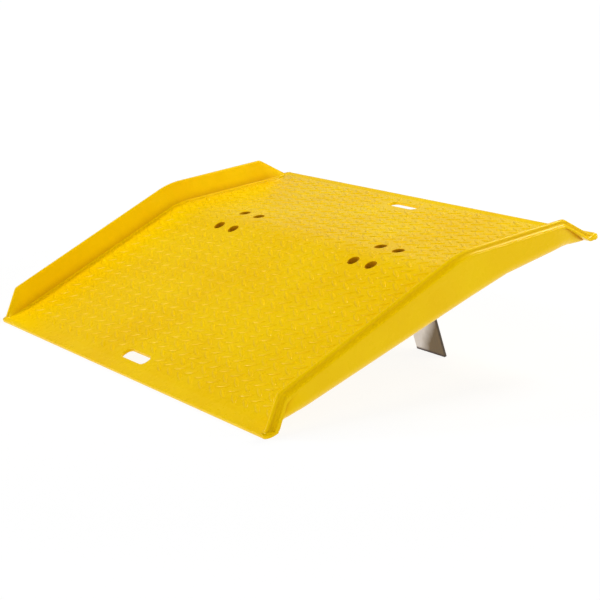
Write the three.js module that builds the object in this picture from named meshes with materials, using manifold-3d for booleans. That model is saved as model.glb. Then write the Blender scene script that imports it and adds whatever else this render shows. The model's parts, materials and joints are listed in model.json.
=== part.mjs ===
// Hand-truck dock plate: one moulded polyethylene plate, with a deck between two side curbs,
// held in the gap at a loading dock by two bent steel legs that are bolted up through its crown.
// Units are millimetres. The plate is drawn lying flat on its two lips, with X across, Y from the
// front lip to the rear lip and Z up. The whole assembly is then tipped up until it stands on its
// front lip and on the feet of its legs, with Z = 0 as the floor.
import * as THREE from "three";
import { mergeVertices } from "three/addons/utils/BufferGeometryUtils.js";
import Module from "manifold-3d";

const radians = THREE.MathUtils.degToRad;

// ---------- driving dimensions ----------
const WIDTH = 914;
const LENGTH = 698;

const LIP_THICKNESS = 6;
const FRONT_LIP = 24; // flat length of each lip, front to back
const REAR_LIP = 13;
const LIP_CHAMFER = 1.5;
const LIP_CORNER_RADIUS = 13;

const CROWN_Y = 422.5; // where the long front slope meets the short rear one
const CROWN_SOFTENING = 25; // half length of the rounded crease
const FRONT_SLOPE = Math.tan(radians(7.65));

const BELLY_Y = 502; // highest line of the underside
const BELLY_Z = 22.3;
const BELLY_FRONT_SLOPE = 0.038; // how fast it falls from there towards each lip
const BELLY_REAR_SLOPE = 0.08;

const CURB_HEIGHT = 43; // rim above the deck
const CURB_BASE_X = 435;
const CURB_FILLET = 3;
const RIM_X = 445.5;
const RIM_RADIUS = 3.5; // the rim is a rounded bead twice this wide
const COVE_RADIUS = 6.5; // hollow between the rim and the shoulder below it
const SHOULDER_RADIUS = 1.5;
const SHOULDER_DROP = 10.5; // from the rim down to the widest line
const SHOULDER_DEPTH = 2.5; // height of the shoulder's upright edge
const SHOULDER_FRONT_DEPTH = 9; // the same at the front lip
const SHOULDER_FRONT_REACH = 60; // how far back it stays deeper
const BEVEL_FRONT = radians(49.1); // slant of the curb's two ends
const BEVEL_REAR = radians(46.3);
const BEVEL_FOOT_Z = 8;
const BEVEL_FOOT_FRONT_Y = 7.5;
const BEVEL_FOOT_REAR_Y = LENGTH - 12.5;
const RIM_SOFTENING = 3; // rounds the rim where a slanted end meets its straight run
const RIM_LEAST = 0.5; // what is left of the rim at the very ends

const SKIRT_DRAFT = Math.tan(radians(5));
const SKIRT_CORNER_RADIUS = 20; // between the skirt and the underside
const SKIRT_FRONT_INSET = 34; // how far the skirt rounds inward behind each lip
const SKIRT_REAR_INSET = 32;
const SKIRT_FRONT_END = 66; // length of each of those roundings
const SKIRT_REAR_END = 88;

const HAND_HOLD_WIDTH = 79;
const HAND_HOLD_LENGTH = 23;
const HAND_HOLD_RADIUS = 10;
const HAND_HOLD_YS = [44.7, 649];

const CHANNEL_XS = [-354, -236, -118, 0, 118, 236, 354]; // shallow channels under the plate
const CHANNEL_SPANS = [[96, 342], [524, 612]];
const CHANNEL_WIDTH = 34;
const CHANNEL_DEPTH = 4;
const CHANNEL_RADIUS = 10;

const LEG_X = 212; // middle of each leg, either side of the centre line
const LEG_WIDTH = 76.2;
const LEG_THICKNESS = 4.8;
const LEG_BEND_RADIUS = 5;
const LEG_FRONT_Y = 372; // front end of the bolted flange
const LEG_BLADE_Y = 478; // front face of the upright blade
const LEG_FOOT_Z = -162;
const LEG_SEAT_Z = 20.5; // flat seat recessed into the underside
const LEG_SEAT_MARGIN = 6;

const BOLT_Y = 423.5; // middle of each pattern of four
const BOLT_PITCH_X = 48;
const BOLT_PITCH_Y = 60;
const BOLT_RADIUS = 5;
const BOLT_LENGTH = 40;
const BOLT_HEAD_HEIGHT = 6.4;
const HEX_FLATS = 17;
const HEX_TURNED = 1; // height lost at the corners of a head
const BOLT_HOLE_RADIUS = 5.5;
const COUNTERBORE_RADIUS = 11;
const COUNTERBORE_FLOOR_Z = 38;
const WASHER_RADIUS = 10;
const WASHER_THICKNESS = 2;
const NUT_HEX_HEIGHT = 6.4;
const NUT_COLLAR_HEIGHT = 2.4;
const NUT_COLLAR_RADIUS = 7.4;

const GAP = 0.3; // left between pieces that touch

const MARGIN = 2; // how far a cutting tool runs past the solid it cuts

// ---------- materials ----------
const YELLOW = new THREE.MeshStandardMaterial({ color: 0xf2c318, roughness: 0.45, metalness: 0 });
const STEEL = new THREE.MeshStandardMaterial({ color: 0xa89f92, roughness: 0.38, metalness: 0.9 });
const ZINC = new THREE.MeshStandardMaterial({ color: 0xb9bcc0, roughness: 0.32, metalness: 0.9 });

// ---------- solids ----------
const wasm = await Module();
wasm.setup();

function toSolid(geometry) {
  const bare = geometry.clone();
  bare.deleteAttribute("normal");
  bare.deleteAttribute("uv");
  const merged = mergeVertices(bare, 1e-4);
  const mesh = new wasm.Mesh({
    numProp: 3,
    vertProperties: merged.attributes.position.array,
    triVerts: Uint32Array.from(merged.index.array),
  });
  return new wasm.Manifold(mesh);
}

function toGeometry(solid) {
  const mesh = solid.getMesh();
  const indexed = new THREE.BufferGeometry();
  indexed.setAttribute("position", new THREE.BufferAttribute(mesh.vertProperties, 3));
  indexed.setIndex(new THREE.BufferAttribute(mesh.triVerts, 1));
  const geometry = indexed.toNonIndexed();
  geometry.computeVertexNormals();
  return geometry;
}

// An upright bar between two heights, centred on x, y.
function upright(radius, x, y, bottom, top, sides = 16) {
  const height = top - bottom;
  return new THREE.CylinderGeometry(radius, radius, height, sides)
    .rotateX(Math.PI / 2)
    .translate(x, y, bottom + height / 2);
}

// A block with rounded upright edges, centred on x, y.
function roundedBlock(width, length, radius, x, y, bottom, top, steps = 4) {
  const dx = width / 2 - radius;
  const dy = length / 2 - radius;
  const shape = new THREE.Shape();
  shape.absarc(dx, dy, radius, 0, radians(90));
  shape.absarc(-dx, dy, radius, radians(90), radians(180));
  shape.absarc(-dx, -dy, radius, radians(180), radians(270));
  shape.absarc(dx, -dy, radius, radians(270), radians(360));
  const options = { depth: top - bottom, bevelEnabled: false, curveSegments: steps };
  return new THREE.ExtrudeGeometry(shape, options).translate(x, y, bottom);
}

// ---------- the plate's lines: heights along Y ----------
const CROWN_Z = LIP_THICKNESS + FRONT_SLOPE * (CROWN_Y - FRONT_LIP);
const REAR_SLOPE = (CROWN_Z - LIP_THICKNESS) / (LENGTH - REAR_LIP - CROWN_Y);

// The lower of two heights, with the corner between them rounded off.
function softMin(a, b, reach) {
  const near = Math.max(reach - Math.abs(a - b), 0);
  return Math.min(a, b) - (near * near) / (4 * reach);
}

// How much the lip's edge is trimmed, top and bottom.
const trimAt = (y) => Math.max(0, LIP_CHAMFER - Math.min(y, LENGTH - y));

function deckZ(y) {
  const front = LIP_THICKNESS + FRONT_SLOPE * (y - FRONT_LIP);
  const rear = LIP_THICKNESS + REAR_SLOPE * (LENGTH - REAR_LIP - y);
  const crown = softMin(front, rear, CROWN_SOFTENING * (FRONT_SLOPE + REAR_SLOPE));
  return Math.max(crown, LIP_THICKNESS) - trimAt(y);
}

// The underside is a shallow arch, except near the lips, where it keeps the lip's thickness.
function bellyZ(y) {
  const slope = y < BELLY_Y ? BELLY_FRONT_SLOPE : BELLY_REAR_SLOPE;
  const arch = BELLY_Z - slope * Math.abs(y - BELLY_Y);
  const skin = deckZ(y) + trimAt(y) - LIP_THICKNESS;
  return Math.min(arch, skin) + trimAt(y);
}

// A line along the curb that follows both slanted ends, `drop` below the rim.
function curbZ(y, drop) {
  const front = BEVEL_FOOT_Z + Math.tan(BEVEL_FRONT) * (y - BEVEL_FOOT_FRONT_Y);
  const rear = BEVEL_FOOT_Z + Math.tan(BEVEL_REAR) * (BEVEL_FOOT_REAR_Y - y);
  const ends = Math.min(front - drop / Math.cos(BEVEL_FRONT), rear - drop / Math.cos(BEVEL_REAR));
  return softMin(deckZ(y) + CURB_HEIGHT - drop, ends, RIM_SOFTENING);
}

// How far the skirt stands in from the shoulder above it: its ends are rounded, the lips are not.
function skirtInset(y) {
  const front = endInset(y - FRONT_LIP, SKIRT_FRONT_END, SKIRT_FRONT_INSET);
  const rear = endInset(LENGTH - REAR_LIP - y, SKIRT_REAR_END, SKIRT_REAR_INSET);
  return Math.max(front, rear);
}

function endInset(fromLip, length, inset) {
  const turned = 1 - fromLip / length;
  return turned > 0 && turned < 1 ? inset * (1 - Math.sqrt(1 - turned * turned)) : 0;
}

function shoulderDepth(y) {
  const nearness = THREE.MathUtils.clamp(1 - (y - FRONT_LIP) / SHOULDER_FRONT_REACH, 0, 1);
  return THREE.MathUtils.lerp(SHOULDER_DEPTH, SHOULDER_FRONT_DEPTH, nearness);
}

// ---------- the plate's cross-section ----------
// Points on an ellipse quarter or half, from one angle to another in degrees.
function arc(x, z, radiusX, radiusZ, from, to, steps) {
  return Array.from({ length: steps + 1 }, (_, i) => {
    const angle = radians(from + ((to - from) * i) / steps);
    return [x + radiusX * Math.cos(angle), z + radiusZ * Math.sin(angle)];
  });
}

// Right half of the section at y, from the middle of the deck round to the middle of the belly.
// Near the lips there is too little height for a whole curb, so each feature takes a share of it.
function halfSection(y) {
  const deck = deckZ(y);
  const belly = bellyZ(y);
  const rim = Math.max(curbZ(y, 0), deck + RIM_LEAST);
  const shoulder = Math.max(curbZ(y, SHOULDER_DROP), LIP_THICKNESS - trimAt(y) - LIP_CHAMFER);

  const beadDrop = Math.min(RIM_RADIUS, 0.6 * (rim - deck));
  const wallTop = rim - beadDrop;
  const fillet = Math.min(CURB_FILLET, 0.35 * (wallTop - deck));
  const wallFootX = CURB_BASE_X + ((RIM_X - RIM_RADIUS - CURB_BASE_X) * fillet) / (wallTop - deck);
  const bead = arc(RIM_X, wallTop, RIM_RADIUS, beadDrop, 180, 0, 4);

  const edgeX = WIDTH / 2;
  const ledgeX = edgeX - SHOULDER_RADIUS;
  const ledge = shoulder + SHOULDER_RADIUS;
  const coveHeight = Math.min(COVE_RADIUS, 0.8 * (wallTop - ledge));
  const cove = arc(ledgeX, ledge + coveHeight, COVE_RADIUS, coveHeight, 180, 270, 2);
  const roll = arc(ledgeX, shoulder, SHOULDER_RADIUS, ledge - shoulder, 45, 0, 1);

  const depth = shoulder - belly;
  const flangeFoot = shoulder - Math.min(shoulderDepth(y), 0.7 * depth);
  const skirtTop = flangeFoot - Math.min(1, 0.1 * depth);
  const cornerRadius = Math.min(SKIRT_CORNER_RADIUS, 0.7 * (skirtTop - belly));
  const skirtX = edgeX - skirtInset(y) - GAP;
  const wallX = skirtX - SKIRT_DRAFT * (skirtTop - belly - cornerRadius);
  const corner = arc(wallX - cornerRadius, belly + cornerRadius, cornerRadius, cornerRadius, 0, -90, 4);

  return [
    [0, deck],
    [CURB_BASE_X - fillet, deck],
    [CURB_BASE_X - 0.1 * fillet, deck + 0.3 * fillet],
    [wallFootX, deck + fillet],
    ...bead,
    ...cove,
    ...roll,
    [edgeX, flangeFoot],
    [skirtX, skirtTop],
    ...corner,
    [0, belly],
  ];
}

// The whole section as a closed loop: clockwise as seen from the front.
function section(y) {
  const right = halfSection(y);
  const left = right.slice(1, -1).reverse().map(([x, z]) => [-x, z]);
  return [...right, ...left].map(([x, z]) => new THREE.Vector3(x, y, z));
}

// A closed skin through equal loops of points, one behind the other.
function loft(loops) {
  const count = loops[0].length;
  const positions = [];
  const addTriangle = (a, b, c) => positions.push(...a, ...b, ...c);

  for (let i = 1; i < loops.length; i++) {
    const near = loops[i - 1];
    const far = loops[i];
    for (let k = 0; k < count; k++) {
      const next = (k + 1) % count;
      addTriangle(near[k], near[next], far[next]);
      addTriangle(near[k], far[next], far[k]);
    }
  }

  for (const [loop, side] of [[loops[0], 1], [loops[loops.length - 1], -1]]) {
    const outline = loop.map((point) => new THREE.Vector2(point.x, point.z));
    for (const face of THREE.ShapeUtils.triangulateShape(outline, [])) {
      const turn = Math.sign(THREE.ShapeUtils.area(face.map((index) => outline[index])));
      const [a, b, c] = face.map((index) => loop[index]);
      if (turn === side) addTriangle(a, b, c);
      else addTriangle(a, c, b);
    }
  }

  const geometry = new THREE.BufferGeometry();
  geometry.setAttribute("position", new THREE.Float32BufferAttribute(positions, 3));
  return geometry;
}

// Sections stand close together where the outline turns and far apart where it runs straight.
function sectionPlaces() {
  const climb = CURB_HEIGHT + LIP_THICKNESS - BEVEL_FOOT_Z;
  const frontPeak = BEVEL_FOOT_FRONT_Y + climb / (Math.tan(BEVEL_FRONT) - FRONT_SLOPE);
  const rearPeak = BEVEL_FOOT_REAR_Y - climb / (Math.tan(BEVEL_REAR) - REAR_SLOPE);
  const peakTurn = [-4, 0, 4, 12];
  const frontTurn = [0, 3, 12, 30, 66];
  const rearTurn = [0, 3, 12, 32, 88];
  const crownTurn = [-1, -0.5, 0, 0.5, 1];
  const places = [
    0,
    LIP_CHAMFER,
    BEVEL_FOOT_FRONT_Y,
    (BEVEL_FOOT_FRONT_Y + FRONT_LIP) / 2,
    ...frontTurn.map((d) => FRONT_LIP + d),
    ...peakTurn.map((d) => frontPeak + d),
    (frontPeak + CROWN_Y) / 2,
    ...crownTurn.map((t) => CROWN_Y + t * CROWN_SOFTENING),
    BELLY_Y,
    ...peakTurn.map((d) => rearPeak - d),
    ...rearTurn.map((d) => LENGTH - REAR_LIP - d),
    LENGTH - LIP_CHAMFER,
    LENGTH,
  ];
  return places.sort((a, b) => a - b);
}

// ---------- the plate ----------
const LEG_SIDES = { left: -1, right: 1 };
const BOLT_ROWS = { front: -1, rear: 1 };
const BOLT_COLUMNS = { outer: 1, inner: -1 };

// Every bolt place, named by its leg, row and column.
function boltPlaces() {
  const places = [];
  for (const [legName, side] of Object.entries(LEG_SIDES))
    for (const [rowName, row] of Object.entries(BOLT_ROWS))
      for (const [columnName, column] of Object.entries(BOLT_COLUMNS))
        places.push({
          leg: legName,
          name: `${legName}_${rowName}_${columnName}`,
          x: side * (LEG_X + (column * BOLT_PITCH_X) / 2),
          y: BOLT_Y + (row * BOLT_PITCH_Y) / 2,
        });
  return places;
}

// A shallow channel that follows the slope of the belly between two places.
function channelCut(x, [from, to]) {
  const middle = (from + to) / 2;
  const tilt = Math.atan((bellyZ(to) - bellyZ(from)) / (to - from));
  return roundedBlock(CHANNEL_WIDTH, to - from, CHANNEL_RADIUS, 0, 0, -CHANNEL_WIDTH, CHANNEL_DEPTH, 2)
    .rotateX(tilt)
    .translate(x, middle, bellyZ(middle));
}

// The flat recess that a leg's flange bolts up against.
function legSeatCut(side) {
  const width = LEG_WIDTH + 2 * LEG_SEAT_MARGIN;
  const from = LEG_FRONT_Y - LEG_SEAT_MARGIN;
  const to = LEG_BLADE_Y + LEG_THICKNESS + LEG_SEAT_MARGIN;
  const middle = (from + to) / 2;
  return roundedBlock(width, to - from, LEG_SEAT_MARGIN, side * LEG_X, middle, -MARGIN, LEG_SEAT_Z);
}

function deckPlate() {
  const through = [-MARGIN, CROWN_Z + CURB_HEIGHT];
  let plate = toSolid(loft(sectionPlaces().map(section)));
  const outline = roundedBlock(WIDTH, LENGTH, LIP_CORNER_RADIUS, 0, LENGTH / 2, ...through);
  plate = plate.intersect(toSolid(outline));

  const handHold = [HAND_HOLD_WIDTH, HAND_HOLD_LENGTH, HAND_HOLD_RADIUS];
  const cuts = [
    ...HAND_HOLD_YS.map((y) => roundedBlock(...handHold, 0, y, ...through)),
    ...CHANNEL_SPANS.flatMap((span) => CHANNEL_XS.map((x) => channelCut(x, span))),
    ...Object.values(LEG_SIDES).map(legSeatCut),
  ];
  for (const { x, y } of boltPlaces()) {
    cuts.push(upright(BOLT_HOLE_RADIUS, x, y, ...through));
    cuts.push(upright(COUNTERBORE_RADIUS, x, y, COUNTERBORE_FLOOR_Z, CROWN_Z + CURB_HEIGHT));
  }
  for (const cut of cuts) plate = plate.subtract(toSolid(cut));
  return toGeometry(plate);
}

// ---------- the legs ----------
const FLANGE_TOP_Z = LEG_SEAT_Z - GAP;
const FLANGE_BOTTOM_Z = FLANGE_TOP_Z - LEG_THICKNESS;

// A flat steel bar bent once, with its bolted flange at the top and its blade hanging down.
function leg(side) {
  const bladeRearY = LEG_BLADE_Y + LEG_THICKNESS;
  const bendY = LEG_BLADE_Y - LEG_BEND_RADIUS;
  const bendZ = FLANGE_BOTTOM_Z - LEG_BEND_RADIUS;
  const profile = new THREE.Shape();
  profile.moveTo(LEG_FRONT_Y, FLANGE_BOTTOM_Z);
  profile.absarc(bendY, bendZ, LEG_BEND_RADIUS, radians(90), 0, true);
  profile.lineTo(LEG_BLADE_Y, LEG_FOOT_Z);
  profile.lineTo(bladeRearY, LEG_FOOT_Z);
  profile.absarc(bendY, bendZ, LEG_BEND_RADIUS + LEG_THICKNESS, 0, radians(90));
  profile.lineTo(LEG_FRONT_Y, FLANGE_TOP_Z);
  const lengthwise = new THREE.Matrix4().makeBasis(
    new THREE.Vector3(0, 1, 0),
    new THREE.Vector3(0, 0, 1),
    new THREE.Vector3(1, 0, 0),
  );
  const options = { depth: LEG_WIDTH, bevelEnabled: false, curveSegments: 6 };
  const bar = new THREE.ExtrudeGeometry(profile, options)
    .applyMatrix4(lengthwise)
    .translate(side * LEG_X - LEG_WIDTH / 2, 0, 0);

  let solid = toSolid(bar);
  for (const { leg: legName, x, y } of boltPlaces())
    if (LEG_SIDES[legName] === side) {
      const hole = upright(BOLT_HOLE_RADIUS, x, y, FLANGE_BOTTOM_Z - MARGIN, FLANGE_TOP_Z + MARGIN);
      solid = solid.subtract(toSolid(hole));
    }
  return toGeometry(solid);
}

// ---------- fasteners, drawn about their own upright axis ----------
const HEX_RADIUS = HEX_FLATS / 2 / Math.cos(radians(30));

// The bolt's origin is the underside of its head, whose upper corners are turned off.
function bolt() {
  const turned = [
    [0, -MARGIN],
    [HEX_RADIUS, -MARGIN],
    [HEX_RADIUS, BOLT_HEAD_HEIGHT - HEX_TURNED],
    [HEX_FLATS / 2, BOLT_HEAD_HEIGHT],
    [0, BOLT_HEAD_HEIGHT],
  ].map(([r, z]) => new THREE.Vector2(r, z));
  const blank = new THREE.LatheGeometry(turned, 12).rotateX(Math.PI / 2);
  const hex = upright(HEX_RADIUS, 0, 0, 0, BOLT_HEAD_HEIGHT + MARGIN, 6);
  const shank = upright(BOLT_RADIUS, 0, 0, -BOLT_LENGTH, MARGIN);
  return toGeometry(toSolid(hex).intersect(toSolid(blank)).add(toSolid(shank)));
}

// The washer's origin is its lower face.
function washer() {
  const hole = upright(BOLT_RADIUS + GAP, 0, 0, -MARGIN, WASHER_THICKNESS + MARGIN);
  const disc = upright(WASHER_RADIUS, 0, 0, 0, WASHER_THICKNESS);
  return toGeometry(toSolid(disc).subtract(toSolid(hole)));
}

// The nut's origin is its upper face, with the locking collar below the hexagon.
function lockNut() {
  const foot = -NUT_HEX_HEIGHT - NUT_COLLAR_HEIGHT;
  const hex = upright(HEX_RADIUS, 0, 0, -NUT_HEX_HEIGHT, 0, 6);
  const collar = upright(NUT_COLLAR_RADIUS, 0, 0, foot, -MARGIN);
  const hole = upright(BOLT_RADIUS + GAP, 0, 0, foot - MARGIN, MARGIN);
  return toGeometry(toSolid(hex).add(toSolid(collar)).subtract(toSolid(hole)));
}

// ---------- assembly ----------
function addMesh(parent, name, geometry, material, x = 0, y = 0, z = 0) {
  const mesh = new THREE.Mesh(geometry, material);
  mesh.name = name;
  mesh.position.set(x, y, z);
  parent.add(mesh);
  return mesh;
}

const dockPlate = new THREE.Group();
const tipped = new THREE.Group();
dockPlate.add(tipped);

addMesh(tipped, "deck_plate", deckPlate(), YELLOW.clone());
for (const [name, side] of Object.entries(LEG_SIDES))
  addMesh(tipped, `leg_${name}`, leg(side), STEEL.clone());

const upperWasherZ = COUNTERBORE_FLOOR_Z + GAP;
const headZ = upperWasherZ + WASHER_THICKNESS + GAP;
const lowerWasherZ = FLANGE_BOTTOM_Z - GAP - WASHER_THICKNESS;
const nutZ = lowerWasherZ - GAP;
for (const { name, x, y } of boltPlaces()) {
  addMesh(tipped, `bolt_${name}`, bolt(), ZINC.clone(), x, y, headZ);
  addMesh(tipped, `upper_washer_${name}`, washer(), ZINC.clone(), x, y, upperWasherZ);
  addMesh(tipped, `lower_washer_${name}`, washer(), ZINC.clone(), x, y, lowerWasherZ);
  addMesh(tipped, `lock_nut_${name}`, lockNut(), ZINC.clone(), x, y, nutZ);
}

// Tip the plate up about its front edge until the feet come down to the level of that edge, then
// move it so that the origin is on the floor, under the middle of its box.
tipped.rotation.x = Math.atan2(-LEG_FOOT_Z, LEG_BLADE_Y - LIP_CHAMFER);
const box = new THREE.Box3().setFromObject(dockPlate, true);
tipped.position.set(0, -(box.min.y + box.max.y) / 2, -box.min.z);

export default dockPlate;
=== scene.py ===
# Hand-truck dock plate: a curbed, crowned polyethylene plate on two steel legs, as it looks.
# The plate is drawn in millimetres, lying flat on its two lips, with X across, Y from the front lip
# to the rear lip and Z up. TO_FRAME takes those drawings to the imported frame, in metres, where the
# plate stands tipped on its front lip and on the feet of its legs.
import json
import math

import bmesh
import bpy
from mathutils import Matrix, Vector


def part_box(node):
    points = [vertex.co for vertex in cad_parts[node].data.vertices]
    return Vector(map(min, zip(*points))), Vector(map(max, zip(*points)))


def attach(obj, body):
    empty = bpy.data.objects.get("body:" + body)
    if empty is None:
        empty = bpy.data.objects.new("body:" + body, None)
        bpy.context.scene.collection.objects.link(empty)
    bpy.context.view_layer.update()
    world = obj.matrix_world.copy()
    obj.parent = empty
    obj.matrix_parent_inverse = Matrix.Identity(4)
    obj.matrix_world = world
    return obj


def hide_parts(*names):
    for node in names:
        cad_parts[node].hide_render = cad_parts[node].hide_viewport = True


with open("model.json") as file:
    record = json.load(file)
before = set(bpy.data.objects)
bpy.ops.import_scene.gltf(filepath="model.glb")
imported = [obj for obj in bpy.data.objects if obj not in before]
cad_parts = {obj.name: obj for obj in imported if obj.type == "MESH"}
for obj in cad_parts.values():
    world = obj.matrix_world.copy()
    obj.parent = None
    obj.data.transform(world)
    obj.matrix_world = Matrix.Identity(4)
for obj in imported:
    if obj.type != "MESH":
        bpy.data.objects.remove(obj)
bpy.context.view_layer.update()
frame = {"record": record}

# ---------- the frame ----------
MM = 0.001
mounts = {mount["name"]: mount for mount in frame["record"]["mounts"]}


def size_mm(node):
    low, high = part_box(node)
    return (high - low) / MM


LIP_POINT = Vector((0, 12.5, 0))  # where the front lip's mount lies on the flat plate
lip_down = Vector(mounts["front_lip_underside"]["axis"])
lip_place = Vector(mounts["front_lip_underside"]["pos_m"])
TIP = math.atan2(lip_down.y, -lip_down.z)
TIPPED = Matrix.Rotation(TIP, 4, "X") @ Matrix.Scale(MM, 4)
TO_FRAME = Matrix.Translation(lip_place - TIPPED @ LIP_POINT) @ TIPPED

# ---------- the plate's sizes, in millimetres ----------
WIDTH = size_mm("deck_plate").x
LENGTH = 698

LIP_THICKNESS = 6
FRONT_LIP = 24
REAR_LIP = 13
LIP_ROUNDING = 2
LIP_CORNER_RADIUS = 13

CROWN_Y = 422.5
CROWN_SOFTENING = 25
FRONT_SLOPE = math.tan(math.radians(7.65))
CROWN_Z = LIP_THICKNESS + FRONT_SLOPE * (CROWN_Y - FRONT_LIP)
REAR_SLOPE = (CROWN_Z - LIP_THICKNESS) / (LENGTH - REAR_LIP - CROWN_Y)

BELLY_Y = 502
BELLY_Z = 22.3
BELLY_FRONT_SLOPE = 0.038
BELLY_REAR_SLOPE = 0.08

CURB_HEIGHT = 43
CURB_BASE_X = 435
CURB_FILLET = 3
RIM_X = 445.5
RIM_RADIUS = 3.5
RIM_SOFTENING = 3
RIM_LEAST = 0.5
COVE_RADIUS = 6.5
SHOULDER_RADIUS = 1.5
SHOULDER_DROP = 10.5
SHOULDER_DEPTH = 2.5
SHOULDER_FRONT_DEPTH = 9
SHOULDER_FRONT_REACH = 60
# the most that each rounding may take of the height it has, where the curb runs down low
BEAD_SHARE = 0.6
FILLET_SHARE = 0.35
COVE_SHARE = 0.8
FLANGE_SHARE = 0.7
SKIRT_CORNER_SHARE = 0.7
STEP_HEIGHT = 1  # the step under the flange, where the skirt starts
STEP_SHARE = 0.1
BEVEL_FRONT = math.radians(49.1)
BEVEL_REAR = math.radians(46.3)
BEVEL_FOOT_Z = 8
BEVEL_FOOT_FRONT_Y = 7.5
BEVEL_FOOT_REAR_Y = LENGTH - 12.5

SKIRT_DRAFT = math.tan(math.radians(5))
SKIRT_CORNER_RADIUS = 20
SKIRT_FRONT_INSET = 34
SKIRT_REAR_INSET = 32
SKIRT_FRONT_END = 66
SKIRT_REAR_END = 88

HAND_HOLD = (79, 23)
HAND_HOLD_RADIUS = 10
HAND_HOLD_YS = (44.7, 649)
HAND_HOLD_EDGE = 0.8
HAND_HOLD_STEPS = 8
EDGE_STEPS = 6

CHANNEL_XS = (-354, -236, -118, 0, 118, 236, 354)
CHANNEL_SPANS = ((96, 342), (524, 612))
CHANNEL_WIDTH = 34
CHANNEL_DEPTH = 4
CHANNEL_RADIUS = 10
CHANNEL_EDGE = 2
CHANNEL_ROOF = ((-1, 0.8), (-3, 0))  # how the roof draws in, and how far below its top

# ---------- the tread ----------
TREAD_PITCH_X = 32.5  # one lug of each direction in every cell of this size
TREAD_PITCH_Y = 28.8
TREAD_ANGLE = math.radians(29)
TREAD_REACH_X = 410  # how far the middles of the lugs run to each side and to each end
TREAD_FRONT_Y = 30
TREAD_REAR_Y = 679
LUG_LENGTH = 28
LUG_WIDTH = 7.6
LUG_HEIGHT = 1.1
# how much of a lug's width is left at each share of its height
LUG_PROFILE = ((1, 0.05), (0.84, 0.5), (0.6, 0.86), (0.3, 1))
LUG_SIDES = 12
LUG_ROOT = 0.6  # how far a lug is sunk into the deck
LUG_CLEARANCE = 5  # kept free around holes

# ---------- the legs and fasteners ----------
LEG_X = 212
LEG_WIDTH = 76.2
LEG_THICKNESS = 4.8
LEG_BEND_RADIUS = 5
LEG_FRONT_Y = 372
LEG_BLADE_Y = 478
LEG_FOOT_Z = -162
LEG_SEAT_Z = 20.5
LEG_SEAT_MARGIN = 6
LEG_EDGE = 0.6
FLANGE_TOP_Z = LEG_SEAT_Z - 0.3
FLANGE_BOTTOM_Z = FLANGE_TOP_Z - LEG_THICKNESS

BOLT_Y = 423.5
BOLT_PITCH = (48, 60)
BOLT_RADIUS = 5
BOLT_LENGTH = 40
BOLT_HEAD_HEIGHT = 6.4
HEAD_TOP_INSET = 1.2  # how far the head's flat top stands in from its flats
HEAD_CHAMFER = 1
HEX_FLATS = 17
HEX_RADIUS = HEX_FLATS / 2 / math.cos(math.radians(30))
HEX_EASE = 0.3  # how far the head's corners are eased where it bears
HEX_MARGIN = 0.02  # how far the cones that cut the corners stand outside them
NUT_CHAMFER = 0.7
THREAD_PITCH = 1.5
THREAD_DEPTH = 0.8
THREAD_LENGTH = 24
THREAD_SIDES = 24
BOLT_POINT = 1.2
BOLT_HOLE_RADIUS = 5.5
BOLT_HOLE_SIDES = 32
COUNTERBORE_RADIUS = 11
COUNTERBORE_FLOOR_Z = 38
COUNTERBORE_EDGE = 0.9
COUNTERBORE_CORNER = 0.8
COUNTERBORE_SIDES = 48
WASHER_RADIUS = 10
WASHER_THICKNESS = 2
WASHER_EDGE = 0.35
NUT_HEX_HEIGHT = 6.4
NUT_COLLAR_HEIGHT = 2.4
NUT_COLLAR_RADIUS = 7.4
NUT_COLLAR_ROLL = ((1.6, 0), (0.7, 0.12), (0.15, 0.7), (0, 1.3))  # its rolled lip, in and up
NUT_RING_HEIGHT = 1.8
TURNED_SIDES = 40
HEAD_SIDES = 48

GAP = 0.3
UPPER_WASHER_Z = COUNTERBORE_FLOOR_Z + GAP
HEAD_Z = UPPER_WASHER_Z + WASHER_THICKNESS + GAP
LOWER_WASHER_Z = FLANGE_BOTTOM_Z - GAP - WASHER_THICKNESS
NUT_Z = LOWER_WASHER_Z - GAP
MARGIN = 6  # how far a cutting tool runs past what it cuts

TURNS = (12, 47, 3, 31, 22, 55, 38, 8)  # how far each bolt was turned when it was tightened
NUT_TURN = math.radians(17)

SIDES = {"left": -1, "right": 1}
ROWS = {"front": -1, "rear": 1}
COLUMNS = {"outer": 1, "inner": -1}


def clamp(value, low, high):
    return max(low, min(value, high))


# ---------- the plate's lines: heights along Y ----------
def soft_min(a, b, reach):
    near = max(reach - abs(a - b), 0)
    return min(a, b) - near * near / (4 * reach)


def quarter_gap(distance, radius):
    """How far a rounded corner stands in from its square, at a distance from the square's edge."""
    left = clamp(radius - distance, 0, radius)
    return radius - math.sqrt(radius * radius - left * left)


def trim_at(y):
    return quarter_gap(min(y, LENGTH - y), LIP_ROUNDING)


def surface_z(y):
    """The deck's height before the lips' edges are rounded."""
    front = LIP_THICKNESS + FRONT_SLOPE * (y - FRONT_LIP)
    rear = LIP_THICKNESS + REAR_SLOPE * (LENGTH - REAR_LIP - y)
    crown = soft_min(front, rear, CROWN_SOFTENING * (FRONT_SLOPE + REAR_SLOPE))
    return max(crown, LIP_THICKNESS)


def deck_z(y):
    return surface_z(y) - trim_at(y)


def belly_z(y):
    slope = BELLY_FRONT_SLOPE if y < BELLY_Y else BELLY_REAR_SLOPE
    arch = BELLY_Z - slope * abs(y - BELLY_Y)
    return min(arch, surface_z(y) - LIP_THICKNESS) + trim_at(y)


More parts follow.
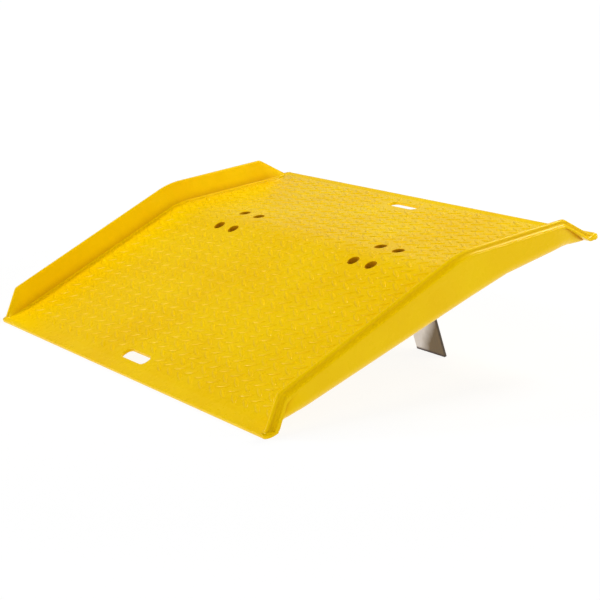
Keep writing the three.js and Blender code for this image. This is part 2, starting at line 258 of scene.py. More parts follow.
def curb_z(y, drop):
    """A line along the curb that follows both slanted ends, a drop below the rim."""
    front = BEVEL_FOOT_Z + math.tan(BEVEL_FRONT) * (y - BEVEL_FOOT_FRONT_Y)
    rear = BEVEL_FOOT_Z + math.tan(BEVEL_REAR) * (BEVEL_FOOT_REAR_Y - y)
    ends = min(front - drop / math.cos(BEVEL_FRONT), rear - drop / math.cos(BEVEL_REAR))
    return soft_min(deck_z(y) + CURB_HEIGHT - drop, ends, RIM_SOFTENING)


def skirt_inset(y):
    front = end_inset(y - FRONT_LIP, SKIRT_FRONT_END, SKIRT_FRONT_INSET)
    rear = end_inset(LENGTH - REAR_LIP - y, SKIRT_REAR_END, SKIRT_REAR_INSET)
    return max(front, rear)


def end_inset(from_lip, length, inset):
    turned = 1 - from_lip / length
    return inset * (1 - math.sqrt(1 - turned * turned)) if 0 < turned < 1 else 0


def shoulder_depth(y):
    nearness = clamp(1 - (y - FRONT_LIP) / SHOULDER_FRONT_REACH, 0, 1)
    return SHOULDER_DEPTH + (SHOULDER_FRONT_DEPTH - SHOULDER_DEPTH) * nearness


def half_width(y):
    return WIDTH / 2 - quarter_gap(min(y, LENGTH - y), LIP_CORNER_RADIUS)


# ---------- the plate's cross-section ----------
def arc(x, z, radius_x, radius_z, start, end, steps):
    points = []
    for i in range(steps + 1):
        angle = math.radians(start + (end - start) * i / steps)
        points.append((x + radius_x * math.cos(angle), z + radius_z * math.sin(angle)))
    return points


def half_section(y):
    """Right half of the section at y, from the middle of the deck round to the belly's middle."""
    deck, belly = deck_z(y), belly_z(y)
    rim = max(curb_z(y, 0), deck + RIM_LEAST)
    shoulder = max(curb_z(y, SHOULDER_DROP), LIP_THICKNESS - trim_at(y) - LIP_ROUNDING)

    bead_drop = min(RIM_RADIUS, BEAD_SHARE * (rim - deck))
    wall_top = rim - bead_drop
    fillet = min(CURB_FILLET, FILLET_SHARE * (wall_top - deck))
    lean = (RIM_X - RIM_RADIUS - CURB_BASE_X) / (wall_top - deck)
    fillet_x, foot_x = CURB_BASE_X - fillet, CURB_BASE_X + lean * fillet
    foot = arc(fillet_x, deck + fillet, foot_x - fillet_x, fillet, -90, 0, 6)
    bead = arc(RIM_X, wall_top, RIM_RADIUS, bead_drop, 180, 0, 12)

    edge_x = WIDTH / 2
    ledge_x = edge_x - SHOULDER_RADIUS
    ledge = shoulder + SHOULDER_RADIUS
    cove_height = min(COVE_RADIUS, COVE_SHARE * (wall_top - ledge))
    cove = arc(ledge_x, ledge + cove_height, COVE_RADIUS, cove_height, 180, 270, 7)
    roll = arc(ledge_x, shoulder, SHOULDER_RADIUS, ledge - shoulder, 75, 0, 5)

    depth = shoulder - belly
    flange_foot = shoulder - min(shoulder_depth(y), FLANGE_SHARE * depth)
    skirt_top = flange_foot - min(STEP_HEIGHT, STEP_SHARE * depth)
    corner_radius = min(SKIRT_CORNER_RADIUS, SKIRT_CORNER_SHARE * (skirt_top - belly))
    skirt_x = edge_x - skirt_inset(y) - GAP
    wall_x = skirt_x - SKIRT_DRAFT * (skirt_top - belly - corner_radius)
    corner_x, corner_z = wall_x - corner_radius, belly + corner_radius
    corner = arc(corner_x, corner_z, corner_radius, corner_radius, 0, -90, 12)

    points = [(0, deck), *foot, *bead, *cove, *roll]
    points += [(edge_x, flange_foot), (skirt_x, skirt_top), *corner, (0, belly)]
    squeeze = (half_width(y) - CURB_BASE_X) / (edge_x - CURB_BASE_X)
    if squeeze < 1:
        points = [(squeezed(x, squeeze), z) for x, z in points]
    return points


def squeezed(x, share):
    """Draws what lies outside the curb's foot inwards, where the lip's corner rounds off."""
    return CURB_BASE_X + (x - CURB_BASE_X) * share if x > CURB_BASE_X else x


def section(y):
    right = half_section(y)
    left = [(-x, z) for x, z in reversed(right[1:-1])]
    return [(x, y, z) for x, z in right + left]


def spread(start, end, step):
    count = max(1, math.ceil(abs(end - start) / step))
    return [start + (end - start) * i / count for i in range(count + 1)]


def section_places():
    """Sections stand close together where the outline turns and far apart where it is straight."""
    climb = CURB_HEIGHT + LIP_THICKNESS - BEVEL_FOOT_Z
    front_peak = BEVEL_FOOT_FRONT_Y + climb / (math.tan(BEVEL_FRONT) - FRONT_SLOPE)
    rear_peak = BEVEL_FOOT_REAR_Y - climb / (math.tan(BEVEL_REAR) - REAR_SLOPE)
    front_body, rear_body = FRONT_LIP + SKIRT_FRONT_END, LENGTH - REAR_LIP - SKIRT_REAR_END
    places = set()
    for start, end, step in (
        (0, LIP_ROUNDING, 0.4),
        (LIP_ROUNDING, LIP_CORNER_RADIUS, 1),
        (LIP_CORNER_RADIUS, front_body, 2),
        (front_peak - 6, front_peak + 6, 1),
        (front_body, CROWN_Y - CROWN_SOFTENING, 30),
        (CROWN_Y - CROWN_SOFTENING, CROWN_Y + CROWN_SOFTENING, 3),
        (CROWN_Y + CROWN_SOFTENING, rear_body, 30),
        (rear_peak - 6, rear_peak + 6, 1),
        (BELLY_Y - 2, BELLY_Y + 2, 1),
        (rear_body, LENGTH - LIP_CORNER_RADIUS, 2),
        (LENGTH - LIP_CORNER_RADIUS, LENGTH - LIP_ROUNDING, 1),
        (LENGTH - LIP_ROUNDING, LENGTH, 0.4),
    ):
        places.update(round(y, 3) for y in spread(start, end, step))
    return sorted(places)


# ---------- meshes ----------
def new_object(name, points, faces):
    mesh = bpy.data.meshes.new(name)
    mesh.from_pydata([tuple(p) for p in points], [], faces)
    mesh.update()
    made = bpy.data.objects.new(name, mesh)
    bpy.context.scene.collection.objects.link(made)
    return made


def lofted(loops, closed=False):
    """Points and faces of a skin through equal loops of points, capped at both ends or closed."""
    count = len(loops[0])
    points = [point for loop in loops for point in loop]
    faces = []
    rows = len(loops) if closed else len(loops) - 1
    for row in range(rows):
        near, far = row * count, ((row + 1) % len(loops)) * count
        for k in range(count):
            next_k = (k + 1) % count
            faces.append((near + k, far + k, far + next_k, near + next_k))
    if not closed:
        last = (len(loops) - 1) * count
        faces.append(tuple(range(count)))
        faces.append(tuple(reversed(range(last, last + count))))
    return points, faces


def gather(solids):
    """Joins separate skins into one list of points and faces."""
    points, faces = [], []
    for solid_points, solid_faces in solids:
        start = len(points)
        points += solid_points
        faces += [tuple(start + index for index in face) for face in solid_faces]
    return points, faces


def outward(made):
    work = bmesh.new()
    work.from_mesh(made.data)
    bmesh.ops.recalc_face_normals(work, faces=work.faces)
    work.to_mesh(made.data)
    work.free()
    return made


def solid(name, points, faces):
    return outward(new_object(name, points, faces))


def combine(body, tool, operation):
    """Cuts the tool out of the body, or adds it, and removes the tool."""
    step = body.modifiers.new(operation, "BOOLEAN")
    step.operation = operation
    step.solver = "MANIFOLD"
    step.object = tool
    graph = bpy.context.evaluated_depsgraph_get()
    result = bpy.data.meshes.new_from_object(body.evaluated_get(graph))
    body.modifiers.clear()
    body.data = result
    bpy.data.objects.remove(tool)
    return body


def finish_piece(piece, body, materials, nodes, crease=50):
    """Takes a piece drawn in the flat plate's millimetres to the frame, and gives it its look."""
    piece.data.transform(TO_FRAME)
    piece.data.shade_smooth()
    piece.data.set_sharp_from_angle(angle=math.radians(crease))
    weights = piece.modifiers.new("weights", "WEIGHTED_NORMAL")
    weights.keep_sharp = True
    parts = [face.material_index for face in piece.data.polygons]
    piece.data.materials.clear()
    for item in materials:
        piece.data.materials.append(item)
    piece.data.polygons.foreach_set("material_index", parts)
    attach(piece, body)
    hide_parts(*nodes)
    return piece


# ---------- cutting tools ----------
def rounded_outline(width, length, radius, steps):
    outline = []
    for corner, (sx, sy) in enumerate(((1, 1), (-1, 1), (-1, -1), (1, -1))):
        x, y = sx * (width / 2 - radius), sy * (length / 2 - radius)
        outline += arc(x, y, radius, radius, 90 * corner, 90 * corner + 90, steps)
    return outline


def circle_outline(radius, steps):
    return arc(0, 0, radius, radius, 0, 360 - 360 / steps, steps - 1)


def grown(outline, amount, normals):
    """The outline pushed outwards along its normals."""
    return [(x + amount * nx, y + amount * ny) for (x, y), (nx, ny) in zip(outline, normals)]


def outline_normals(outline):
    normals = []
    count = len(outline)
    for i in range(count):
        (ax, ay), (bx, by) = outline[i - 1], outline[(i + 1) % count]
        dx, dy = bx - ax, by - ay
        size = math.hypot(dx, dy)
        normals.append((dy / size, -dx / size))
    return normals


def flared_cut(outline, x, y, levels):
    """A tool that follows an outline down. Each level is how far it is grown, and its height as a
    function of Y."""
    normals = outline_normals(outline)
    loops = []
    for amount, height in levels:
        ring = grown(outline, amount, normals)
        loops.append([(x + u, y + v, height(y + v)) for u, v in ring])
    return lofted(loops)


def rounded_rim(edge, height, steps, side):
    """Levels that round an opening's edge over into the surface around it: the top surface on side
    1, the underside on side -1."""
    levels = []
    for i in range(steps + 1):
        angle = math.radians(86) * i / steps
        drop = edge * (1 - math.sin(angle))
        levels.append((edge * (1 - math.cos(angle)), lambda v, d=drop: height(v) - side * d))
    return levels


def bolt_places():
    for leg_name, side in SIDES.items():
        for row_name, row in ROWS.items():
            for column_name, column in COLUMNS.items():
                x = side * (LEG_X + column * BOLT_PITCH[0] / 2)
                y = BOLT_Y + row * BOLT_PITCH[1] / 2
                yield f"{leg_name}_{row_name}_{column_name}", x, y


def opening_cuts():
    slot = rounded_outline(*HAND_HOLD, HAND_HOLD_RADIUS, HAND_HOLD_STEPS)
    cuts = []
    for y in HAND_HOLD_YS:
        top = rounded_rim(HAND_HOLD_EDGE, surface_z, EDGE_STEPS, 1)
        bottom = rounded_rim(HAND_HOLD_EDGE, belly_z, EDGE_STEPS, -1)
        above = [(top[-1][0], lambda v: surface_z(v) + MARGIN)]
        below = [(bottom[-1][0], lambda v: belly_z(v) - MARGIN)]
        cuts.append(flared_cut(slot, 0, y, below + bottom[::-1] + top + above))
    bore = circle_outline(COUNTERBORE_RADIUS, COUNTERBORE_SIDES)
    floor = [(-COUNTERBORE_CORNER, lambda v: COUNTERBORE_FLOOR_Z)]
    floor += [(0, lambda v: COUNTERBORE_FLOOR_Z + COUNTERBORE_CORNER)]
    for _, x, y in bolt_places():
        rim = rounded_rim(COUNTERBORE_EDGE, surface_z, 5, 1)
        above = [(rim[-1][0], lambda v: surface_z(v) + MARGIN)]
        cuts.append(flared_cut(bore, x, y, floor + rim + above))
    return gather(cuts)


def bolt_hole_cuts():
    hole = circle_outline(BOLT_HOLE_RADIUS, BOLT_HOLE_SIDES)
    levels = [(0, lambda v: -MARGIN), (0, lambda v: COUNTERBORE_FLOOR_Z + MARGIN)]
    return gather([flared_cut(hole, x, y, levels) for _, x, y in bolt_places()])


def underside_cuts():
    """Shallow channels that follow the belly, and a flat recess for each leg."""
    cuts = []
    for start, end in CHANNEL_SPANS:
        outline = rounded_outline(CHANNEL_WIDTH, end - start, CHANNEL_RADIUS, 6)
        mouth = rounded_rim(CHANNEL_EDGE, belly_z, 4, -1)
        levels = [(mouth[-1][0], lambda v: belly_z(v) - MARGIN), *mouth[::-1]]
        for inset, drop in CHANNEL_ROOF:
            levels.append((inset, lambda v, d=drop: belly_z(v) + CHANNEL_DEPTH - d))
        for x in CHANNEL_XS:
            cuts.append(flared_cut(outline, x, (start + end) / 2, levels))
    start, end = LEG_FRONT_Y - LEG_SEAT_MARGIN, LEG_BLADE_Y + LEG_THICKNESS + LEG_SEAT_MARGIN
    width = LEG_WIDTH + 2 * LEG_SEAT_MARGIN
    outline = rounded_outline(width, end - start, LEG_SEAT_MARGIN, 5)
    for side in SIDES.values():
        levels = [(0, lambda v: -MARGIN), (0, lambda v: LEG_SEAT_Z)]
        cuts.append(flared_cut(outline, side * LEG_X, (start + end) / 2, levels))
    return gather(cuts)


# ---------- the tread ----------
def lug_is_clear(x, y):
    """Whether a lug with its middle here is on the tread and stays off the holes."""
    room = LUG_LENGTH / 4 + LUG_CLEARANCE
    if abs(x) > TREAD_REACH_X or not TREAD_FRONT_Y < y < TREAD_REAR_Y:
        return False
    for hold_y in HAND_HOLD_YS:
        near_x = abs(x) < HAND_HOLD[0] / 2 + room
        near_y = abs(y - hold_y) < HAND_HOLD[1] / 2 + room
        if near_x and near_y:
            return False
    clear = COUNTERBORE_RADIUS + room
    return all(math.hypot(x - bolt_x, y - bolt_y) > clear for _, bolt_x, bolt_y in bolt_places())


def lug(x, y, angle):
    """A low oval ridge that stands on the deck."""
    outline = circle_outline(1, LUG_SIDES)
    levels = [(1, -LUG_ROOT), *((share, height * LUG_HEIGHT) for share, height in LUG_PROFILE)]
    cos_a, sin_a = math.cos(angle), math.sin(angle)
    loops = []
    for share, height in levels:
        half_length = LUG_LENGTH / 2 - LUG_WIDTH / 2 * (1 - share)
        ring = []
        for u, v in outline:
            along, across = u * half_length, v * LUG_WIDTH / 2 * share
            px = x + along * cos_a - across * sin_a
            py = y + along * sin_a + across * cos_a
            ring.append((px, py, surface_z(py) + height))
        loops.append(ring)
    return lofted(loops)


def tread():
    lugs = []
    columns = math.ceil(WIDTH / TREAD_PITCH_X)
    rows = math.ceil(LENGTH / TREAD_PITCH_Y)
    for direction, offset in ((1, 0), (-1, 0.5)):
        for i in range(-columns, columns + 1):
            for j in range(rows + 1):
                x, y = (i + offset) * TREAD_PITCH_X, (j + offset) * TREAD_PITCH_Y
                if lug_is_clear(x, y):
                    lugs.append(lug(x, y, direction * TREAD_ANGLE))
    return gather(lugs)


def deck_moulding():
    body = solid("deck_moulding", *lofted([section(y) for y in section_places()]))
    combine(body, solid("tread_tool", *tread()), "UNION")
    combine(body, solid("opening_tool", *opening_cuts()), "DIFFERENCE")
    combine(body, solid("bolt_hole_tool", *bolt_hole_cuts()), "DIFFERENCE")
    combine(body, solid("underside_tool", *underside_cuts()), "DIFFERENCE")
    return body


# ---------- the legs ----------
def bar_stations():
    """Places along the bent bar, from the flange's front end down to the foot. Each is the middle
    of the bar's thickness, the way its outer face looks, and how far its section is drawn in."""
    middle_z = FLANGE_BOTTOM_Z + LEG_THICKNESS / 2
    bend_y, bend_z = LEG_BLADE_Y - LEG_BEND_RADIUS, FLANGE_BOTTOM_Z - LEG_BEND_RADIUS
    stations = []
    for angle in spread(90, 0, 22.5):
        turned = math.radians(angle)
        back, inset = LEG_EDGE * (1 - math.sin(turned)), LEG_EDGE * (1 - math.cos(turned))
        stations.append((LEG_FRONT_Y + back, middle_z, 0, 1, inset))
    reach = LEG_BEND_RADIUS + LEG_THICKNESS / 2
    for angle in spread(90, 0, 7.5):
        ny, nz = math.cos(math.radians(angle)), math.sin(math.radians(angle))
        stations.append((bend_y + reach * ny, bend_z + reach * nz, ny, nz, 0))
    for angle in spread(0, 90, 22.5):
        turned = math.radians(angle)
        down, inset = LEG_EDGE * math.sin(turned), LEG_EDGE * (1 - math.cos(turned))
        stations.append((bend_y + reach, LEG_FOOT_Z + LEG_EDGE - down, 1, 0, inset))
    return stations


def bent_bar(name, side):
    loops = []
    for y, z, ny, nz, inset in bar_stations():
        width, thickness = LEG_WIDTH - 2 * inset, LEG_THICKNESS - 2 * inset
        outline = rounded_outline(width, thickness, LEG_EDGE, 3)
        loops.append([(side * LEG_X + u, y + v * ny, z + v * nz) for u, v in outline])
    bar = solid(name, *lofted(loops))
    hole = circle_outline(BOLT_HOLE_RADIUS, BOLT_HOLE_SIDES)
    levels = [
        (LEG_EDGE + MARGIN, lambda v: FLANGE_BOTTOM_Z - MARGIN),
        (0, lambda v: FLANGE_BOTTOM_Z + LEG_EDGE),
        (0, lambda v: FLANGE_TOP_Z - LEG_EDGE),
        (LEG_EDGE + MARGIN, lambda v: FLANGE_TOP_Z + MARGIN),
    ]
    holes = [flared_cut(hole, x, y, levels) for _, x, y in bolt_places() if x * side > 0]
    return combine(bar, solid("leg_hole_tool", *gather(holes)), "DIFFERENCE")


def is_cut_face(face, side):
    """Whether a face is on the bar's sheared edges or ends."""
    from_middle = abs(face.center.x - side * LEG_X)
    ends = face.center.y < LEG_FRONT_Y + LEG_EDGE / 2 or face.center.z < LEG_FOOT_Z + LEG_EDGE / 2
    return from_middle > LEG_WIDTH / 2 - LEG_EDGE / 2 or ends


# ---------- fasteners, drawn about their own upright axis ----------
def turned_solid(name, profile, sides):
    """A closed profile of radius and height points, turned round the axis."""
    rings = []
    for radius, z in profile:
        rings.append([(x, y, z) for x, y in circle_outline(radius, sides)])
    return solid(name, *lofted(rings))


def turned_ring(profile, sides):
    """Like turned_solid, for a profile that stays clear of the axis all the way round."""
    loops = []
    for i in range(sides):
        angle = 2 * math.pi * i / sides
        loops.append([(r * math.cos(angle), r * math.sin(angle), z) for r, z in profile])
    return lofted(loops, closed=True)


def hexagon(name, bottom, top):
    ring = circle_outline(HEX_RADIUS, 6)
    return solid(name, *lofted([[(x, y, z) for x, y in ring] for z in (bottom, top)]))


def thread_radius(angle, z):
    """The bolt's radius on a thread that climbs one pitch each turn, fading out up the shank."""
    turn = (z / THREAD_PITCH - angle / (2 * math.pi)) % 1
    ridge = clamp(abs(2 * turn - 1) * 1.25 - 0.1, 0, 1)
    fade = clamp((z + BOLT_LENGTH - THREAD_LENGTH) / THREAD_PITCH, 0, 1)
    point = clamp(1 - (z + BOLT_LENGTH) / BOLT_POINT, 0, 1)
    return BOLT_RADIUS - THREAD_DEPTH * max(ridge * (1 - fade), point)


def bolt_blank():
    """A hexagon head whose corners a cone has cut, on a shank with a rolled thread."""
    corner, flat = HEX_RADIUS + HEX_MARGIN, HEX_FLATS / 2
    cone = [(corner - HEX_EASE, 0), (corner, HEX_EASE), (corner, BOLT_HEAD_HEIGHT - HEAD_CHAMFER)]
    cone += [(flat - HEX_EASE, BOLT_HEAD_HEIGHT - 0.1), (flat - HEAD_TOP_INSET, BOLT_HEAD_HEIGHT)]
    head = hexagon("head", -MARGIN, BOLT_HEAD_HEIGHT + MARGIN)
    combine(head, turned_solid("head_tool", cone, HEAD_SIDES), "INTERSECT")
    rings = []
    thread_end = THREAD_LENGTH + 2 * THREAD_PITCH - BOLT_LENGTH
    for z in spread(-BOLT_LENGTH, thread_end, THREAD_PITCH / 8):
        ring = []
        for i in range(THREAD_SIDES):
            angle = 2 * math.pi * i / THREAD_SIDES
            radius = thread_radius(angle, z)
            ring.append((radius * math.cos(angle), radius * math.sin(angle), z))
        rings.append(ring)
    rings.append([(x, y, 1) for x, y in circle_outline(BOLT_RADIUS, THREAD_SIDES)])
    return combine(head, solid("shank_tool", *lofted(rings)), "UNION")


def washer_blank():
    edge = WASHER_EDGE
    inner, outer, top = BOLT_RADIUS + GAP, WASHER_RADIUS, WASHER_THICKNESS
    profile = [(inner, 0), (outer - edge, 0), (outer, edge), (outer, top - edge)]
    profile += [(outer - edge, top), (inner + edge, top), (inner, top - edge)]
    return solid("washer_blank", *turned_ring(profile, TURNED_SIDES))


def nut_blank():
    """A hexagon with a rolled collar below it, which grips a nylon ring."""
    corner, flat, inner = HEX_RADIUS + HEX_MARGIN, HEX_FLATS / 2, BOLT_RADIUS + GAP
    foot = -NUT_HEX_HEIGHT - NUT_COLLAR_HEIGHT
    cone = [(flat - 0.2, -NUT_HEX_HEIGHT), (corner, NUT_CHAMFER - NUT_HEX_HEIGHT)]
    cone += [(corner, -NUT_CHAMFER), (flat, 0)]
    nut = hexagon("nut_blank", -NUT_HEX_HEIGHT - MARGIN, MARGIN)
    combine(nut, turned_solid("nut_tool", cone, HEAD_SIDES), "INTERSECT")
    collar = [(NUT_COLLAR_RADIUS - inset, foot + up) for inset, up in NUT_COLLAR_ROLL]
    collar += [(NUT_COLLAR_RADIUS, 0.5 - NUT_HEX_HEIGHT)]
    combine(nut, turned_solid("collar_tool", collar, TURNED_SIDES), "UNION")
    seat = foot + NUT_RING_HEIGHT
    bore = [(inner + 1.6, foot - MARGIN), (inner + 1.2, seat), (inner, seat + 0.1)]
    bore += [(inner, -0.6), (inner + 0.6 + MARGIN, MARGIN)]
    combine(nut, turned_solid("bore_tool", bore, TURNED_SIDES), "DIFFERENCE")
    ring = [(inner, foot + 0.5), (inner + 0.3, foot + 0.2), (inner + 1.1, foot + 0.2)]
    ring += [(inner + 1.1, seat - 0.05), (inner, seat - 0.05)]
    return with_insert(nut, *turned_ring(ring, TURNED_SIDES))


def with_insert(made, points, faces):
    """Adds a second skin to a piece, in the piece's second material."""
    insert = solid("insert", points, faces)
    work = bmesh.new()
    work.from_mesh(made.data)
    own = len(work.faces)
    work.from_mesh(insert.data)
    work.faces.ensure_lookup_table()
    for face in work.faces[own:]:
        face.material_index = 1
    work.to_mesh(made.data)
    work.free()
    bpy.data.objects.remove(insert)
    return made


def placed_copy(blank, name, x, y, z, turn=0):
    made = bpy.data.objects.new(name, blank.data.copy())
    bpy.context.scene.collection.objects.link(made)
    made.data.transform(Matrix.Translation((x, y, z)) @ Matrix.Rotation(turn, 4, "Z"))
    return made


# ---------- materials ----------
def srgb(red, green, blue, alpha=1):
    def linear(value):
        value /= 255
        return value / 12.92 if value <= 0.04045 else ((value + 0.055) / 1.055) ** 2.4

    return (linear(red), linear(green), linear(blue), alpha)


class Nodes:
    """A short way to write a material's nodes. A noise scale is about its number of blotches in a
    metre, and bump distances are in metres."""

    def __init__(self, name):
        self.material = bpy.data.materials.new(name)
        self.material.use_nodes = True
        self.tree = self.material.node_tree
        self.shader = self.tree.nodes["Principled BSDF"]
        self.place = self.tree.nodes.new("ShaderNodeTexCoord").outputs["Object"]

    def add(self, kind, inputs=None, **settings):
        node = self.tree.nodes.new("ShaderNode" + kind)
        for key, value in settings.items():
            setattr(node, key, value)
        for key, value in (inputs or {}).items():
            self.set(node.inputs[key], value)
        return node

    def set(self, socket, value):
        if isinstance(value, bpy.types.NodeSocket):
            self.tree.links.new(value, socket)
        else:
            socket.default_value = value

    def noise(self, scale, detail=3, roughness=0.5, place=None):
        node = self.add("TexNoise", {"Vector": place or self.place, "Scale": scale,
                                     "Detail": detail, "Roughness": roughness})
        return node.outputs["Fac"]

    def stretched(self, scale):
        """Texture coordinates that lie square on the tipped plate, stretched by a scale."""
        turned = self.add("Mapping", {"Vector": self.place, "Rotation": (-TIP, 0, 0)})
        sized = self.add("Mapping", {"Vector": turned.outputs["Vector"], "Scale": scale})
        return sized.outputs["Vector"]

    def between(self, value, low, high, start=0.0, end=1.0):
        node = self.add("MapRange", {"Value": value, "From Min": low, "From Max": high,
                                     "To Min": start, "To Max": end})
        return node.outputs["Result"]

    def math(self, operation, *values):
        node = self.add("Math", dict(enumerate(values)), operation=operation)
        return node.outputs[0]

    def mix(self, share, first, second):
        node = self.add("Mix", data_type="RGBA")
        for socket, value in ((0, share), (6, first), (7, second)):  # the sockets of a colour mix
            self.set(node.inputs[socket], value)
        return node.outputs[2]

    def bump(self, height, strength, distance, normal=None):
        inputs = {"Height": height, "Strength": strength, "Distance": distance}
        if normal is not None:
            inputs["Normal"] = normal
        return self.add("Bump", inputs).outputs["Normal"]

    def finish(self, **sockets):
        for key, value in sockets.items():
            self.set(self.shader.inputs[key.replace("_", " ")], value)
        return self.material


def moulded_yellow():
    """Satin polyethylene: a fine moulded grain, faint cloudiness, light scuffing, and painted shade
    in inside corners, except where the surface looks up."""
    n = Nodes("moulded_yellow")
    clouds = n.noise(7, 3)
    colour = n.mix(n.between(clouds, 0.35, 0.65), srgb(247, 200, 0), srgb(250, 208, 2))
    scuffs = n.noise(1, 4, 0.65, n.stretched((90, 9, 90)))
    scuffed = n.between(scuffs, 0.62, 0.78, 0, 0.5)
    colour = n.mix(scuffed, colour, srgb(252, 212, 40))
    # painted shade: inside corners, creases and hollows are darkened towards orange-brown, less
    # where the surface looks up
    openness = n.add("AmbientOcclusion", {"Distance": 0.03}, samples=8, only_local=True)
    closed_in = n.between(openness.outputs["AO"], 0.85, 0.45, 0, 0.8)
    normal = n.add("NewGeometry").outputs["Normal"]
    facing_up = n.add("SeparateXYZ", {"Vector": normal}).outputs["Z"]
    painted_corner_shade = n.math("MULTIPLY", closed_in, n.between(facing_up, 0.85, 0.5))
    colour = n.mix(painted_corner_shade, colour, srgb(184, 112, 2))
    grain = n.noise(1500, 2)
    swirl = n.noise(160, 3)
    rough = n.between(n.noise(60, 3), 0.3, 0.7, 0.24, 0.32)
    normal = n.bump(swirl, 0.1, 0.0005)
    normal = n.bump(grain, 0.2, 0.0001, normal)
    return n.finish(Base_Color=colour, Roughness=rough, Normal=normal, Specular_IOR_Level=0.24,
                    Specular_Tint=srgb(255, 222, 90))


def bare_steel():
    """Flat bar, brushed along its length. Painted shade makes it darker and browner towards the foot
    and the bar's outer edge, and a dark band runs along the very foot."""
    n = Nodes("bare_steel")
    streaks = n.noise(1, 4, 0.7, n.stretched((900, 12, 12)))
    stains = n.noise(16, 4, 0.6)
    spot = n.add("SeparateXYZ", {"Vector": n.place})
    aside = n.math("ABSOLUTE", spot.outputs["X"])
    inward = n.math("SUBTRACT", LEG_X * MM, aside)
    # painted shade, with random stains: the steel is lit high up and towards the bar's inner edge,
    # and shaded brown low down and towards its outer edge
    stain_and_shade = n.math("ADD", inward, n.between(stains, 0.3, 0.7, -0.006, 0.006))
    painted_light_level = n.math("MULTIPLY_ADD", spot.outputs["Z"], 0.6, stain_and_shade)
    brushed = n.mix(n.between(streaks, 0.3, 0.7), srgb(206, 199, 194), srgb(226, 220, 216))
    painted_shade_steel = n.mix(n.between(streaks, 0.3, 0.7), srgb(96, 79, 52), srgb(122, 103, 74))
    colour = n.mix(n.between(painted_light_level, 0.002, 0.028), painted_shade_steel, brushed)
    # a dark band over the bar's lowest few millimetres
    dark_foot_band = n.between(spot.outputs["Z"], 0.006, 0.002)
    colour = n.mix(dark_foot_band, colour, srgb(66, 48, 38))
    rough = n.between(streaks, 0.3, 0.7, 0.34, 0.5)
    normal = n.bump(streaks, 0.2, 0.0001)
    normal = n.bump(n.noise(700, 2), 0.15, 0.00005, normal)
    return n.finish(Base_Color=colour, Metallic=0.7, Roughness=rough, Normal=normal)


def cut_steel():
    """The bar's sheared edges, dark with scale."""
    n = Nodes("cut_steel")
    scale = n.noise(350, 4, 0.6)
    colour = n.mix(n.between(scale, 0.35, 0.7), srgb(70, 60, 50), srgb(104, 92, 76))
    return n.finish(Base_Color=colour, Metallic=0.3, Roughness=n.between(scale, 0.3, 0.7, 0.5, 0.7),
                    Normal=n.bump(scale, 0.3, 0.00015))


def zinc_plate():
    """Bright zinc plate with a faint crystalline mottle."""
    n = Nodes("zinc_plate")
    mottle = n.noise(260, 3)
    colour = n.mix(n.between(mottle, 0.3, 0.7), srgb(176, 180, 184), srgb(208, 211, 213))
    colour = n.mix(n.between(n.noise(70, 2), 0.6, 0.8), colour, srgb(190, 184, 160))
    rough = n.between(mottle, 0.3, 0.7, 0.24, 0.4)
    return n.finish(Base_Color=colour, Metallic=1.0, Roughness=rough,
                    Normal=n.bump(mottle, 0.1, 0.00005))


def locking_nylon():
    n = Nodes("locking_nylon")
    colour = n.mix(n.noise(300, 2), srgb(210, 214, 216), srgb(228, 230, 230))
    return n.finish(Base_Color=colour, Roughness=0.5, Normal=n.bump(n.noise(900, 2), 0.1, 0.00005))


YELLOW = moulded_yellow()
STEEL = bare_steel()
CUT_STEEL = cut_steel()
ZINC = zinc_plate()
NYLON = locking_nylon()


# ---------- the plate ----------
finish_piece(deck_moulding(), "root", [YELLOW], ["deck_plate"])

# ---------- the legs and fasteners ----------
for side_name, side in SIDES.items():
    bar = bent_bar(f"bent_bar_{side_name}", side)
    for face in bar.data.polygons:
        face.material_index = 1 if is_cut_face(face, side) else 0
    finish_piece(bar, "root", [STEEL, CUT_STEEL], [f"leg_{side_name}"])

bolt, washer, nut = bolt_blank(), washer_blank(), nut_blank()
for number, (place_name, x, y) in enumerate(bolt_places()):
    turn = math.radians(TURNS[number])
    hex_bolt = placed_copy(bolt, f"hex_bolt_{place_name}", x, y, HEAD_Z, turn)
    finish_piece(hex_bolt, "root", [ZINC], [f"bolt_{place_name}"], 35)
    for end, z in (("upper", UPPER_WASHER_Z), ("lower", LOWER_WASHER_Z)):
        flat_washer = placed_copy(washer, f"flat_washer_{end}_{place_name}", x, y, z)
        nodes = [f"{end}_washer_{place_name}"]
        finish_piece(flat_washer, "root", [ZINC], nodes, 35)
    locked_nut = placed_copy(nut, f"nylon_nut_{place_name}", x, y, NUT_Z, turn + NUT_TURN)
    finish_piece(locked_nut, "root", [ZINC, NYLON], [f"lock_nut_{place_name}"], 35)
for blank in (bolt, washer, nut):
    bpy.data.objects.remove(blank)

# ---------- floor, light and camera ----------
MIDDLE = (0, 0.05, 0.12)  # what every light is turned to
# each light's place, the side of its square, and how bright a white card facing it at MIDDLE looks
LIGHTS = {
    "rear": ((0.2, 1.7, 2.2), 0.9, 0.65),
    "front_left": ((-1.6, -1.8, 1.8), 0.7, 0.43),
    "front": ((0.5, -2.4, 1.6), 0.6, 0.14),
    "right_rear": ((1.8, 1.7, 1.6), 0.8, 0.18),
    "right_front": ((2, -0.9, 1.8), 0.8, 0.12),
}
HORIZON, ZENITH = 0.45, 0.01  # how bright the studio's walls and ceiling are
WALL_TOP, CEILING = 0.2, 0.6  # sines of the angles up between which the walls fade out

FLOOR_REACH = 30
FLOOR_GLOW = ((0.9, 0.89), (3, 1))  # its own light, at two distances from the origin

CAMERA_PLACE = (2.2588, -1.5133, 0.6959)
CAMERA_TARGET = (0, 0.0461, 0.0733)
CAMERA_ROLL = math.radians(0.454)
CAMERA_LENS = 94.2
SENSOR_WIDTH = 36


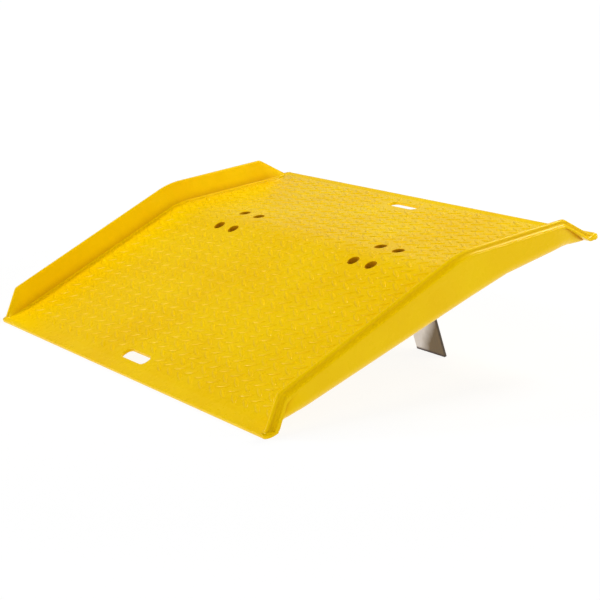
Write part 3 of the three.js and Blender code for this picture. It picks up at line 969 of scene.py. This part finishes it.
def pale_floor():
    """A white floor. Most of its brightness is its own, so that it stays white all over and takes
    only faint shadows."""
    far = FLOOR_REACH
    corners = [(-far, -far, 0), (far, -far, 0), (far, far, 0), (-far, far, 0)]
    floor = new_object("floor", corners, [(0, 1, 2, 3)])
    n = Nodes("pale_floor")
    away = n.add("VectorMath", {0: n.place}, operation="LENGTH").outputs["Value"]
    (near_edge, near_glow), (far_edge, far_glow) = FLOOR_GLOW
    glow = n.between(away, near_edge, far_edge, near_glow, far_glow)
    n.finish(Base_Color=srgb(96, 96, 96), Roughness=1.0, Specular_IOR_Level=0.0,
             Emission_Color=srgb(255, 255, 255), Emission_Strength=glow)
    floor.data.materials.append(n.material)


def soft_light(name, place, size, brightness):
    away = Vector(place) - Vector(MIDDLE)
    light = bpy.data.lights.new(name, "AREA")
    light.shape = "SQUARE"
    light.size = size
    light.energy = brightness * (math.pi * away.length) ** 2
    made = bpy.data.objects.new(name, light)
    made.location = place
    made.rotation_euler = away.to_track_quat("Z", "Y").to_euler()
    bpy.context.scene.collection.objects.link(made)


def studio():
    world = bpy.data.worlds.new("studio")
    bpy.context.scene.world = world
    world.use_nodes = True
    sky = world.node_tree.nodes["Background"]
    sky.inputs["Color"].default_value = (1, 1, 1, 1)
    nodes, links = world.node_tree.nodes, world.node_tree.links
    direction, height = nodes.new("ShaderNodeTexCoord"), nodes.new("ShaderNodeSeparateXYZ")
    fade = nodes.new("ShaderNodeMapRange")
    ends = {"From Min": WALL_TOP, "From Max": CEILING, "To Min": HORIZON, "To Max": ZENITH}
    for key, value in ends.items():
        fade.inputs[key].default_value = value
    links.new(direction.outputs["Generated"], height.inputs["Vector"])
    links.new(height.outputs["Z"], fade.inputs["Value"])
    links.new(fade.outputs["Result"], sky.inputs["Strength"])
    for name, (place, size, brightness) in LIGHTS.items():
        soft_light(name, place, size, brightness)
    bpy.context.scene.view_settings.view_transform = "Standard"


def camera():
    place = Vector(CAMERA_PLACE)
    data = bpy.data.cameras.new("camera")
    data.sensor_width = SENSOR_WIDTH
    data.lens = CAMERA_LENS
    data.clip_end = 200
    made = bpy.data.objects.new("camera", data)
    aim = (Vector(CAMERA_TARGET) - place).to_track_quat("-Z", "Y").to_matrix().to_4x4()
    made.matrix_world = Matrix.Translation(place) @ aim @ Matrix.Rotation(-CAMERA_ROLL, 4, "Z")
    bpy.context.scene.collection.objects.link(made)
    bpy.context.scene.camera = made


pale_floor()
studio()
camera()
